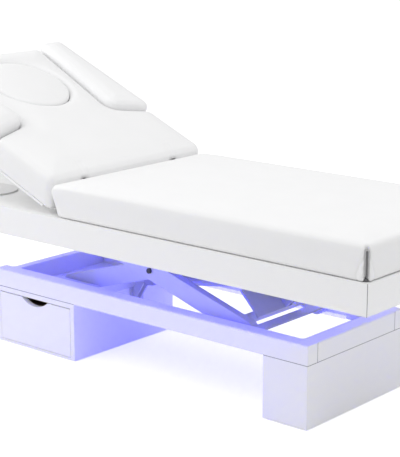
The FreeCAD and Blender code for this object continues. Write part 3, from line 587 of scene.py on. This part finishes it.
def finer_patch(piece, middle, reach, top):
    """Smaller faces near a corner, so that a narrow fold has room."""
    mesh = bmesh.new()
    mesh.from_mesh(piece.data)
    edges = set()
    for face in mesh.faces:
        place = face.calc_center_median()
        if (place.xy - Vector(middle)).length < reach and place.z < top:
            edges.update(face.edges)
    bmesh.ops.subdivide_edges(mesh, edges=list(edges), cuts=tuck_cuts, use_grid_fill=True)
    mesh.to_mesh(piece.data)
    mesh.free()


def tuck_corner(piece, corner, bottom):
    """Upright tucked seam at a foot corner of the seat, with a slanting fold on each side of it."""
    fade_end = tuck_top + tuck_fade
    finer_patch(piece, corner, tuck_reach, fade_end)
    points = points_of(piece)
    height = points[:, 2]
    outward = np.sign(np.array(corner))
    offset = (points[:, :2] - np.array(corner)) * outward
    inward = -outward / math.sqrt(2)
    across = (offset[:, 0] - offset[:, 1]) / math.sqrt(2)
    aside = np.abs(across)
    near = faded(np.linalg.norm(offset, axis=1), tuck_reach * tuck_full_share, tuck_reach)
    below = faded(height, tuck_top, fade_end)
    tuck = tuck_depth * bell(across, tuck_width) * below
    slant = fold_offset * faded(height, bottom, tuck_top)
    folds = fold_depth * bell(aside - tuck_width - slant, fold_width)
    folds *= faded(height, tuck_top - tuck_fade, tuck_top)
    waves = np.sin(height / gather_length + aside / gather_length)
    gathers = gather_depth * waves * below * bell(across, fold_offset)
    points[:, :2] += ((tuck + folds + gathers) * near)[:, None] * inward
    set_points(piece, points)


def shift_fold(piece, angle, up, low_shift, high_shift, drop):
    """Draws a cushion's end at the fold to the head end, by one share at its bottom and one at its top."""
    points = points_of(piece)
    forward = np.array((math.cos(angle), 0, -math.sin(angle)))
    along = (points - np.array(hinge_point)) @ forward
    height = points @ np.array(up)
    level = (height - height.min()) / (height.max() - height.min())
    share = faded(np.abs(along), 0, fold_reach)
    shift = share * (low_shift + (high_shift - low_shift) * level)
    lowered = drop * share * share * level
    points -= shift[:, None] * forward + lowered[:, None] * np.array(up)
    set_points(piece, points)


def hang_lower_edge(piece, board_node):
    """Cover that hangs a little past the board under it, so that only a thin shadow line stays."""
    low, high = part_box(board_node)
    points = points_of(piece)
    height = points[:, 2]
    beyond = np.maximum(np.abs(points[:, 1]) - high.y, points[:, 0] - high.x)
    outside = np.clip(beyond / edge_hang_run, 0, 1)
    drop = edge_hang * outside * faded(height, high.z, high.z + edge_hang_height)
    hanging = np.maximum(height - drop, low.z + edge_gap)
    points[:, 2] = np.where(drop > 0, np.minimum(height, hanging), height)
    set_points(piece, points)


def build_cushions():
    """All padded pieces."""
    seat = soft_piece("seat_cushion", "platform", level_up, cushion_voxel, seat_shrink, seat_swell)
    hang_lower_edge(seat, "seat_board")
    shift_fold(seat, 0, level_up, seat_fold_low, seat_fold_high, seat_fold_drop)
    low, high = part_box("seat_cushion")
    for side in (low.y, high.y):
        corner = (high.x - tuck_inset, side - math.copysign(tuck_inset, side))
        tuck_corner(seat, corner, low.z)
    backrest = soft_piece("backrest_cushion", "backrest", backrest_up, cushion_voxel, shrink, swell)
    shift_fold(backrest, backrest_angle, backrest_up, backrest_fold_low, backrest_fold_high,
               backrest_fold_drop)
    for node in ("side_pad_near", "side_pad_far", "face_plug"):
        soft_piece(node, node, backrest_up, small_voxel, shrink, swell)


def shade_line_piece(name, body, bars):
    """Thin dark lines of painted shade, each a bar between two corners."""
    mesh = bmesh.new()
    for low, high in bars:
        ends_x, ends_y, ends_z = zip(low, high)
        add_box(mesh, [(x, y, z) for z in ends_z for y in ends_y for x in ends_x])
    data = bpy.data.meshes.new(name)
    mesh.to_mesh(data)
    mesh.free()
    data.materials.append(materials["grey_plastic"])
    piece = bpy.data.objects.new(name, data)
    scene.collection.objects.link(piece)
    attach(piece, body)


def long_joints(start, end, y, z):
    """Level lines of painted shade at the joints along both long sides of the base."""
    bars = []
    for side in (-y, y):
        bars.append(((start, side - shade_line_proud, z - shade_line_half), (end, side + shade_line_proud, z + shade_line_half)))
    return bars


def base_joints():
    """Painted shade lines at the joints of the foot block and of the foot end of the base."""
    low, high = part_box("base_side_rails")
    end_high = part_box("base_end_rail_foot")[1]
    block_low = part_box("foot_block_end_panels")[0]
    inner = high.x - shade_line_proud
    outer = high.x + shade_line_proud
    bars = long_joints(block_low.x, high.x, high.y, low.z)
    bars.append(((inner, low.y, low.z - shade_line_half), (outer, high.y, low.z + shade_line_half)))
    for side in (-1, 1):
        middle = side * end_high.y
        bars.append(((inner, middle - shade_line_half, low.z), (outer, middle + shade_line_half, high.z)))
    return bars


def cabinet_joints():
    """Painted shade lines at the joints between the rails and the cabinet."""
    low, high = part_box("base_side_rails")
    cabinet_low, cabinet_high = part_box("cabinet_side_panels")
    return long_joints(cabinet_low.x, cabinet_high.x, high.y, low.z)


def apron_joints():
    """Upright painted shade lines at the joints at the four corners of the aprons."""
    low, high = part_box("platform_side_aprons")
    end_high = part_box("platform_end_aprons")[1]
    bars = []
    for end in (-end_high.x, end_high.x):
        for side in (-high.y, high.y):
            bars.append(((end - shade_line_half, side - shade_line_half, low.z),
                         (end + shade_line_proud, side + shade_line_half, high.z)))
    return bars


def corner_shade_lines():
    """Dark lines of painted shade deep in the tucked corners of the seat."""
    low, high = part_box("seat_cushion")
    x = high.x - corner_shade_inset
    bars = []
    for side in (-1, 1):
        y = side * (high.y - corner_shade_inset)
        bars.append(((x - corner_shade_half, y - corner_shade_half, low.z + corner_shade_rise),
                     (x + corner_shade_half, y + corner_shade_half, tuck_top)))
    return bars


def build_shade_lines():
    """Painted shade lines at the joints of the base, aprons and cabinet, and in the seat's tucked corners.
    """
    shade_line_piece("base_joint_shade_lines", "base", base_joints())
    shade_line_piece("apron_joint_shade_lines", "platform", apron_joints())
    shade_line_piece("seat_corner_painted_shade", "platform", corner_shade_lines())
    shade_line_piece("cabinet_joint_shade_lines", "base", cabinet_joints())


def seen_or_mirrored(tree):
    """One for what the camera sees straight or mirrored, else zero."""
    path = tree.nodes.new("ShaderNodeLightPath")
    return combined(tree, "MAXIMUM", path.outputs["Is Camera Ray"], path.outputs["Is Glossy Ray"])


def build_floor():
    """Plain pale floor that shows white to the camera and keeps a soft shadow."""
    reach = floor_reach
    mesh = bpy.data.meshes.new("floor")
    mesh.from_pydata([(-reach, -reach, 0), (reach, -reach, 0), (reach, reach, 0), (-reach, reach, 0)], [],
                     [(0, 1, 2, 3)])
    floor = bpy.data.objects.new("floor", mesh)
    scene.collection.objects.link(floor)
    material, tree, shader = new_material("floor")
    shader.inputs["Base Color"].default_value = floor_colour
    shader.inputs["Roughness"].default_value = floor_roughness
    shader.inputs["Emission Color"].default_value = white
    glow = tree.nodes.new("ShaderNodeMath")
    glow.operation = "MULTIPLY"
    glow.inputs[1].default_value = floor_glow
    tree.links.new(seen_or_mirrored(tree), glow.inputs[0])
    tree.links.new(glow.outputs["Value"], shader.inputs["Emission Strength"])
    mesh.materials.append(material)


def build_world():
    """Even pale light all round, white where it is seen."""
    world = bpy.data.worlds.new("studio")
    scene.world = world
    world.use_nodes = True
    tree = world.node_tree
    background = tree.nodes["Background"]
    background.inputs["Color"].default_value = white
    strength = remapped(tree, seen_or_mirrored(tree), world_light, shown_white)
    tree.links.new(strength, background.inputs["Strength"])


def add_lamp(name, place, target, size, power):
    """Large soft lamp aimed at a point."""
    light = bpy.data.lights.new(name, "AREA")
    light.size = size
    light.energy = power
    lamp = bpy.data.objects.new(name, light)
    lamp.location = place
    lamp.rotation_euler = (Vector(target) - Vector(place)).to_track_quat("-Z", "Y").to_euler()
    scene.collection.objects.link(lamp)


def build_camera():
    """Camera where the photograph was taken."""
    data = bpy.data.cameras.new("photo_camera")
    data.lens = camera_lens
    data.sensor_width = sensor_size
    data.sensor_fit = "AUTO"
    camera = bpy.data.objects.new("photo_camera", data)
    camera.location = camera_place
    camera.rotation_euler = (math.radians(camera_tilt), 0, math.radians(camera_turn))
    scene.collection.objects.link(camera)
    scene.camera = camera


scene.view_settings.view_transform = "Standard"
materials = build_materials()
build_world()
build_camera()
for lamp_values in lamps:
    add_lamp(*lamp_values)
dress_cad_nodes()
build_cushions()
build_shade_lines()
build_floor()
